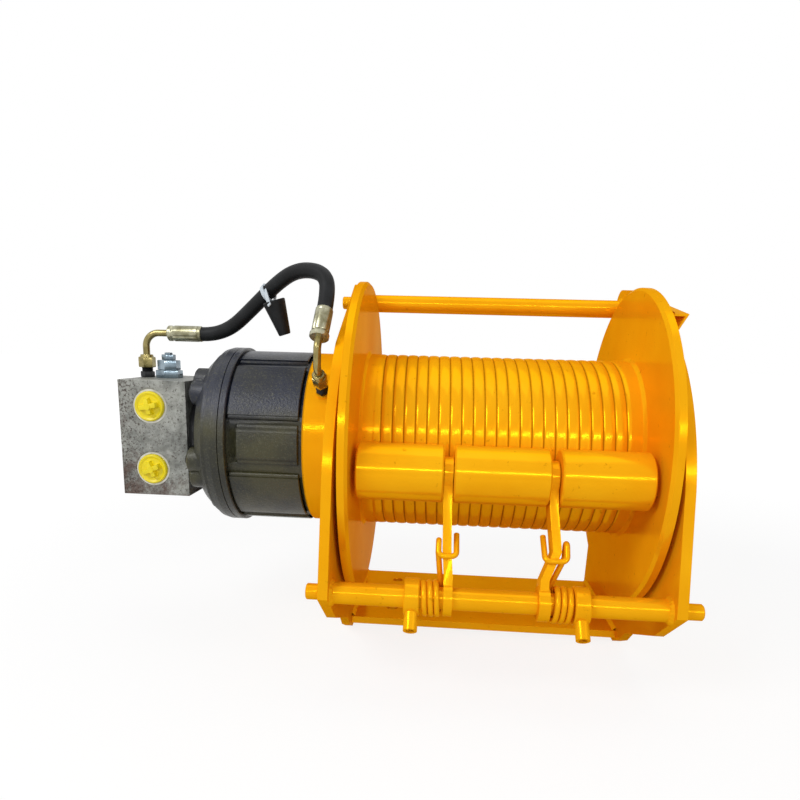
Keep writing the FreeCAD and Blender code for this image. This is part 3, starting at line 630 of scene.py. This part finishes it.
class WINCH_OT_rope_drum(bpy.types.Operator):
    """Wind the rope groove round the drum"""

    bl_idname = "winch.rope_drum"
    bl_label = "Rope drum"

    def execute(self, context):
        sizes = context.scene.winch_sizes
        pitch = sizes.groove_pitch
        radius = sizes.drum_radius
        inside = 0.088
        turns = 22
        per_turn = 12
        crest_width = 0.45
        collar = DRUM_HALF - turns / 2.0 * pitch
        start = -DRUM_HALF + collar - pitch
        count = (turns + 2) * per_turn
        work = bmesh.new()
        verts = []
        for k in range(count + 1):
            share = (k % per_turn) / per_turn
            crest = abs(math.cos(math.pi * share)) ** crest_width
            verts.append(work.verts.new((start + pitch * k / per_turn, 0.0,
                                         radius - sizes.groove_depth * (1.0 - crest))))
        edges = [work.edges.new((verts[k], verts[k + 1])) for k in range(count)]
        bmesh.ops.spin(work, geom=verts + edges, cent=(0, 0, 0), axis=(1, 0, 0),
                       dvec=(pitch / sizes.turn_steps, 0, 0), angle=2.0 * math.pi,
                       steps=sizes.turn_steps, use_merge=False, use_normal_flip=False, use_duplicate=False)
        bmesh.ops.remove_doubles(work, verts=work.verts, dist=2e-5)
        for x, high_side in ((-DRUM_HALF + collar, False), (DRUM_HALF - collar, True)):
            bmesh.ops.bisect_plane(work, geom=work.verts[:] + work.edges[:] + work.faces[:],
                                   plane_co=(x, 0, 0), plane_no=(1, 0, 0),
                                   clear_outer=high_side, clear_inner=not high_side)
        for side in (-1.0, 1.0):
            place = towards((side * DRUM_HALF, 0, 0), (-side, 0, 0))
            band = [(inside, 0.0), (radius, 0.0), (radius, collar), (inside, collar)]
            weld = [(radius - 0.001, 0.0), (radius + 0.004, 0.0), (radius + 0.0015, 0.0015),
                    (radius - 0.001, 0.004)]
            lathe(work, band, place, sizes.turn_steps)
            lathe(work, weld, place, sizes.turn_steps)
        bmesh.ops.translate(work, vec=(0.0, DRUM_Y, DRUM_Z), verts=work.verts)
        add_piece("rope_drum", work, "yellow_paint", "drum", ("drum_core",), 50.0, "drum_paint_groove_shade")
        return {"FINISHED"}


class WINCH_OT_rounded_edges(bpy.types.Operator):
    """Round over the cut edges of plates, arms, clamps and the motor block"""

    bl_idname = "winch.rounded_edges"
    bl_label = "Rounded edges"

    def execute(self, context):
        for node, offset, body, slot in (
                ("side_plate_left", 0.0009, "frame", "yellow_paint"),
                ("side_plate_right", 0.0009, "frame", "yellow_paint"),
                ("base_plate", 0.0008, "frame", "yellow_paint"),
                ("side_guard", 0.0006, "frame", "yellow_paint"),
                ("clamp_left", 0.0006, "frame", "yellow_paint"),
                ("clamp_right", 0.0006, "frame", "yellow_paint"),
                ("arm_left", 0.0012, "press_frame", "yellow_paint"),
                ("arm_right", 0.0012, "press_frame", "yellow_paint"),
                ("motor_block", 0.0020, "frame", "bare_casting"),
                ("reducer_cover", 0.0012, "frame", "dark_casting")):
            softened(node, offset, body=body, slot=slot)
        softened("reducer_body", 0.0011, slot="dark_casting", shape=deepened_recesses)
        return {"FINISHED"}


class WINCH_OT_port_plugs(bpy.types.Operator):
    """Press the two grip plugs into the motor ports"""

    bl_idname = "winch.port_plugs"
    bl_label = "Port plugs"

    def execute(self, context):
        radius = context.scene.winch_sizes.plug_radius
        blade_middle, taper = 0.0050, (0.82, 0.74)
        for node, turn in (("port_plug_upper", 12.0), ("port_plug_lower", 24.0)):
            low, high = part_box(node)
            seat = towards(((low[0] + high[0]) / 2.0, PORT_FACE_Y, (low[2] + high[2]) / 2.0), (0, -1, 0))
            work = bmesh.new()
            profile = [(0.0, -0.012), (0.0126, -0.012), (0.0126, 0.0), (radius, 0.0), (radius, 0.0022),
                       (radius - 0.0006, 0.0034), (radius - 0.0016, 0.004), (radius - 0.0030, 0.0036),
                       (radius - 0.0044, 0.0026), (0.0, 0.0026)]
            lathe(work, profile, Matrix.Identity(4), 48, closed=False)
            for spin, size in ((0.0, (0.0235, 0.0070, 0.0078)), (90.0, (0.0205, 0.0064, 0.0070))):
                blade = bmesh.ops.create_cube(work, size=1.0)["verts"]
                bmesh.ops.scale(work, vec=size, verts=blade)
                bmesh.ops.translate(work, vec=(0.0, 0.0, blade_middle), verts=blade)
                for vert in blade:
                    if vert.co.z > blade_middle:
                        vert.co.x *= taper[0]
                        vert.co.y *= taper[1]
                blade = bevelled(work, blade, list({e for v in blade for e in v.link_edges}), 0.0006)
                bmesh.ops.rotate(work, cent=(0, 0, 0), verts=blade,
                                 matrix=Matrix.Rotation(math.radians(spin + turn), 3, "Z"))
            hub = bmesh.ops.create_cone(work, cap_ends=True, segments=24, radius1=0.0046, radius2=0.0036,
                                        depth=0.0078)["verts"]
            bmesh.ops.translate(work, vec=(0.0, 0.0, 0.0056), verts=hub)
            bmesh.ops.transform(work, matrix=seat, verts=work.verts)
            add_piece(node + "_grip", work, "yellow_plastic", "frame", (node,))
            work = bmesh.new()
            ring = [(0.0172, 0.0), (0.0193, 0.0), (0.0193, 0.0003), (0.0172, 0.0003)]
            lathe(work, ring, seat, 48)
            add_piece(node + "_seat", work, "bare_casting", "frame", finish="spot_face")
        return {"FINISHED"}


class WINCH_OT_hex_fittings(bpy.types.Operator):
    """Fit the nuts, adapters and the relief valve"""

    bl_idname = "winch.hex_fittings"
    bl_label = "Nuts, adapters and valve"

    def execute(self, context):
        low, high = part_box("block_nut")
        x = (low[0] + high[0]) / 2.0
        y = TUBE_LINE_Y
        work = bmesh.new()
        hexagon(work, 0.017, high[2] - low[2] - 0.003, towards((x, y, low[2]), UP), 0.0011)
        lathe(work, [(0.0042, 0.0), (0.0078, 0.0), (0.0072, 0.0030), (0.0048, 0.0034)],
              towards((x, y, high[2] - 0.0034), UP), 32)
        add_piece("line_nut", work, "yellow_zinc", "frame", ("block_nut",))
        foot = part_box("block_adapter")[0][2]
        grip, thread_step = 0.007, 0.00115
        work = bmesh.new()
        hexagon(work, 0.014, grip, towards((x, y, foot), UP), 0.0009)
        for k in range(4):
            lathe(work, [(0.0, 0.0), (0.0058, 0.0), (0.0066, 0.0006), (0.0058, 0.0012), (0.0, 0.0012)],
                  towards((x, y, foot + grip + thread_step * k), UP), 32, closed=False)
        add_piece("line_adapter", work, "black_steel", "frame", ("block_adapter",))
        low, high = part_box("relief_valve")
        x = (low[0] + high[0]) / 2.0
        bottom = low[2]
        work = bmesh.new()
        for across, foot, height, chamfer in ((0.027, 0.0, 0.0092, 0.0007), (0.023, 0.0094, 0.0116, 0.0008),
                                              (0.014, 0.0212, 0.0063, 0.0006)):
            hexagon(work, across, height, towards((x, y, bottom + foot), UP), chamfer)
        lathe(work, [(0.0, 0.0), (0.0104, 0.0), (0.0104, 0.0012), (0.0, 0.0012)],
              towards((x, y, bottom + 0.0088), UP), 40, closed=False)
        lathe(work, [(0.0, 0.0), (0.0046, 0.0), (0.0046, 0.0018), (0.0040, 0.0023), (0.0020, 0.0023),
                     (0.0020, 0.0012), (0.0, 0.0012)], towards((x, y, bottom + 0.0275), UP), 32, closed=False)
        add_piece("adjusting_valve", work, "zinc", "frame", ("relief_valve",))
        axis = Vector((0.0, -0.79335, 0.60876))
        housing_skin, nut_lift, nut_height = 0.0996, 0.0125, 0.0148
        foot = Vector((-0.189, DRUM_Y, DRUM_Z)) + axis * housing_skin
        nut = foot + axis * nut_lift
        work = bmesh.new()
        for k in range(5):
            lathe(work, [(0.0, 0.0), (0.0058, 0.0), (0.0065, 0.0009), (0.0058, 0.0018), (0.0, 0.0018)],
                  towards(foot + axis * (0.0035 + 0.0018 * k), axis), 32, closed=False)
        hexagon(work, 0.0125, 0.0036, towards(foot, axis), 0.0006)
        add_piece("brake_adapter", work, "black_steel", "frame", ("housing_adapter",))
        work = bmesh.new()
        hexagon(work, 0.014, nut_height, towards(nut, axis), 0.0010)
        lathe(work, [(0.0042, 0.0), (0.0068, 0.0), (0.0070, 0.0026), (0.0062, 0.0040), (0.0044, 0.0042)],
              towards(nut + axis * nut_height, axis), 32)
        add_piece("brake_nut", work, "yellow_zinc", "frame", ("housing_nut",))
        return {"FINISHED"}


class WINCH_OT_ferrules(bpy.types.Operator):
    """Crimp the two ferrules on the hose"""

    bl_idname = "winch.ferrules"
    bl_label = "Ferrules"

    def execute(self, context):
        lean = Vector((0.0027, 0.022, 0.034)).normalized()
        core, sleeve_radius, crimp, end_band, edge = 0.0040, 0.0092, 0.93, 0.0042, 0.0008
        low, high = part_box("ferrule_block")
        for name, node, start, way, length, lip in (
                ("line_ferrule", "ferrule_block", Vector((low[0], TUBE_LINE_Y, (low[2] + high[2]) / 2.0)),
                 ALONG_X, high[0] - low[0], 0.0091),
                ("brake_ferrule", "ferrule_housing", Vector((-0.1878, -0.17261, 0.34641)), lean, 0.034,
                 0.0101)):
            work = bmesh.new()
            place = towards(start, way)
            lathe(work, [(core, 0.0), (lip - edge, 0.0), (lip, edge), (lip, 0.0042), (0.0082, 0.0060),
                         (0.0082, 0.0080), (core, 0.0080)], place, 40)
            sleeve = lathe(work, [(0.0, 0.0070), (0.0088, 0.0070), (sleeve_radius, 0.0080),
                                  (sleeve_radius, length - end_band), (0.0, length - 0.0040)],
                           Matrix.Identity(4), 64, closed=False)
            for vert in sleeve:
                groove = math.cos(8.0 * math.atan2(vert.co.y, vert.co.x))
                if vert.co.z < length - 0.0045 and groove < -0.6:
                    vert.co.x *= crimp
                    vert.co.y *= crimp
            bmesh.ops.transform(work, matrix=place, verts=sleeve)
            lathe(work, [(0.0, length - end_band), (0.0088, length - end_band), (0.0091, length - 0.0034),
                         (0.0091, length - edge), (0.0086, length), (0.0, length)], place, 40, closed=False)
            add_piece(name, work, "yellow_zinc", "frame", (node,), 25.0, "ferrule_zinc")
        return {"FINISHED"}


class WINCH_OT_hanging_stopper(bpy.types.Operator):
    """Hang the rubber stopper on the hose with its cable tie"""

    bl_idname = "winch.hanging_stopper"
    bl_label = "Stopper and cable tie"

    def execute(self, context):
        low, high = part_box("cable_tie")
        spot = Vector([(low[k] + high[k]) / 2.0 for k in range(3)])
        top = spot + Vector((0.0100, -0.0150, -0.0100))
        along = (Vector(HOSE_ROUTE[4]) - Vector(HOSE_ROUTE[3])).normalized()
        across = along.cross(UP).normalized()
        down = along.cross(across).normalized()
        if down.z > 0.0:
            down = -down
        drop = (top - spot).dot(down) + 0.0015
        out = (top - spot).dot(across)
        steps, ring_radius, half_width, thickness = 40, 0.0088, 0.0023, 0.0011
        slack, slack_angle = 0.22, 0.6
        work = bmesh.new()
        loop = []
        for k in range(steps):
            angle = 2.0 * math.pi * k / steps
            ring = down * math.cos(angle) + across * math.sin(angle)
            sag = slack * max(0.0, math.cos(angle - slack_angle))
            loop.append((spot + (down * drop + across * out) * sag + ring * ring_radius, ring))
        bands = []
        for side, lift in ((-half_width, 0.0), (half_width, 0.0), (half_width, thickness),
                           (-half_width, thickness)):
            row = [work.verts.new(place + along * side + ring * lift) for place, ring in loop]
            bands.append([work.edges.new((row[k], row[(k + 1) % steps])) for k in range(steps)])
        for k in range(4):
            bmesh.ops.bridge_loops(work, edges=bands[k] + bands[(k + 1) % 4])
        high_end = spot - down * 0.0086 + Vector((0.0, -0.0040, 0.0))
        low_end = top + Vector((-0.0010, -0.0138, -0.0060))
        run = (low_end - high_end).normalized()
        turn = Matrix((along, run.cross(along), run)).transposed().to_4x4()
        tail = bmesh.ops.create_cube(work, size=1.0)["verts"]
        bmesh.ops.scale(work, vec=(0.0044, thickness, (low_end - high_end).length), verts=tail)
        bmesh.ops.transform(work, matrix=Matrix.Translation((high_end + low_end) / 2.0) @ turn, verts=tail)
        head, face = loop[25]
        lock = bmesh.ops.create_cube(work, size=1.0)["verts"]
        bmesh.ops.scale(work, vec=(0.0056, 0.0040, 0.0052), verts=lock)
        lock = bevelled(work, lock, list({e for v in lock for e in v.link_edges}), 0.0006)
        bmesh.ops.transform(work, matrix=towards(head + face * 0.0020, face), verts=lock)
        add_piece("tie_strap", work, "white_plastic", "frame", ("cable_tie",))
        work = bmesh.new()
        lathe(work, [(0.0, 0.0010), (0.0100, 0.0010), (0.0106, 0.0), (0.0117, 0.0), (0.0124, 0.0009),
                     (0.0122, 0.0028), (0.0068, 0.0365), (0.0064, 0.0377), (0.0056, 0.0381),
                     (0.0043, 0.0379), (0.0039, 0.0361), (0.0036, 0.0240), (0.0, 0.0240)],
              towards(top, (9.5, 3.0, -30.0)), 48, closed=False)
        add_piece("hollow_stopper", work, "black_rubber", "frame", ("rubber_stopper",))
        return {"FINISHED"}


class WINCH_OT_reducer_screws(bpy.types.Operator):
    """Screw the reducer cover, the motor flange and the bearing cover down"""

    bl_idname = "winch.reducer_screws"
    bl_label = "Screws"

    def execute(self, context):
        work = bmesh.new()
        cover_face, cover_circle, first_pair, pair_half = -0.3395, 0.078, 49.5, 7.5
        for pair in range(5):
            for side in (-1.0, 1.0):
                spot = round_axis(cover_face, cover_circle, first_pair + 72.0 * pair + pair_half * side)
                socket_screw(work, 0.0062, 0.0034, towards(spot, (-1, 0, 0)))
        motor_face, motor_circle = -0.3300, 0.071
        for degrees in (-1.0, 11.0, 85.0, 156.0, 228.0, 300.0):
            spot = round_axis(motor_face, motor_circle, degrees)
            hexagon(work, 0.010, 0.0062, towards(spot, (-1, 0, 0)), 0.0006)
        add_piece("cover_screws", work, "black_steel", "frame")
        work = bmesh.new()
        bearing_face, bearing_circle = 0.1805, 0.055
        for k in range(6):
            spot = round_axis(bearing_face, bearing_circle, 150.0 - 60.0 * k)
            hexagon(work, 0.010, 0.0066, towards(spot, (1, 0, 0)), 0.0006)
        add_piece("bearing_screws", work, "yellow_paint", "frame")
        work = bmesh.new()
        for x, y, z in ((-0.4080, -0.022, 0.2961), (-0.3640, -0.022, 0.2961)):
            socket_screw(work, 0.0060, 0.0040, towards((x, y, z), UP))
        add_piece("block_screws", work, "black_steel", "frame")
        return {"FINISHED"}


class WINCH_OT_weld_seams(bpy.types.Operator):
    """Lay the weld seams of the frame"""

    bl_idname = "winch.weld_seams"
    bl_label = "Weld seams"

    def execute(self, context):
        work = bmesh.new()
        for side in (-1.0, 1.0):
            for bar in (TIE_BAR_YZ, PRESS_ROD_YZ):
                weld_ring(work, 0.011, 0.0036, towards((side * PLATE_INNER, *bar), (-side, 0, 0)))
            for bar in (TIE_BAR_YZ, PRESS_ROD_YZ):
                weld_ring(work, 0.008, 0.0030, towards((side * PLATE_OUTER, *bar), (side, 0, 0)))
            x = side * PLATE_INNER
            weld_line(work, Vector((x, -0.083, BASE_TOP)), Vector((x, 0.084, BASE_TOP)),
                      -side * ALONG_X, UP, 0.0042)
        weld_line(work, Vector((PLATE_OUTER, -0.125, 0.3805)), Vector((PLATE_OUTER, -0.057, 0.3935)),
                  ALONG_X, UP, 0.0026)
        add_piece("frame_welds", work, "yellow_paint", "frame", (), 60.0)
        return {"FINISHED"}


class WINCH_PT_panel(bpy.types.Panel):
    """Buttons for the pieces of the winch"""

    bl_idname = "WINCH_PT_panel"
    bl_label = "Hydraulic winch"
    bl_space_type = "VIEW_3D"
    bl_region_type = "UI"
    bl_category = "Winch"

    def draw(self, context):
        for step in STEPS:
            self.layout.operator(step.bl_idname)


# The tie and its stopper come before the hose
STEPS = (WINCH_OT_camera, WINCH_OT_hanging_stopper, WINCH_OT_brake_hose, WINCH_OT_stage, WINCH_OT_finishes,
         WINCH_OT_rope_drum, WINCH_OT_rounded_edges, WINCH_OT_port_plugs, WINCH_OT_hex_fittings,
         WINCH_OT_ferrules, WINCH_OT_reducer_screws, WINCH_OT_weld_seams)
CLASSES = (WinchSizes, WinchColours) + STEPS + (WINCH_PT_panel,)


def register():
    """Register the classes and hang their settings on the scene."""
    for cls in CLASSES:
        bpy.utils.register_class(cls)
    bpy.types.Scene.winch_sizes = PointerProperty(type=WinchSizes)
    bpy.types.Scene.winch_colours = PointerProperty(type=WinchColours)


def unregister():
    """Take the settings and the classes away again."""
    del bpy.types.Scene.winch_colours
    del bpy.types.Scene.winch_sizes
    for cls in reversed(CLASSES):
        bpy.utils.unregister_class(cls)


def main():
    """Run every step in order."""
    register()
    for step in STEPS:
        group, name = step.bl_idname.split(".")
        getattr(getattr(bpy.ops, group), name)()


if __name__ == "__main__":
    main()
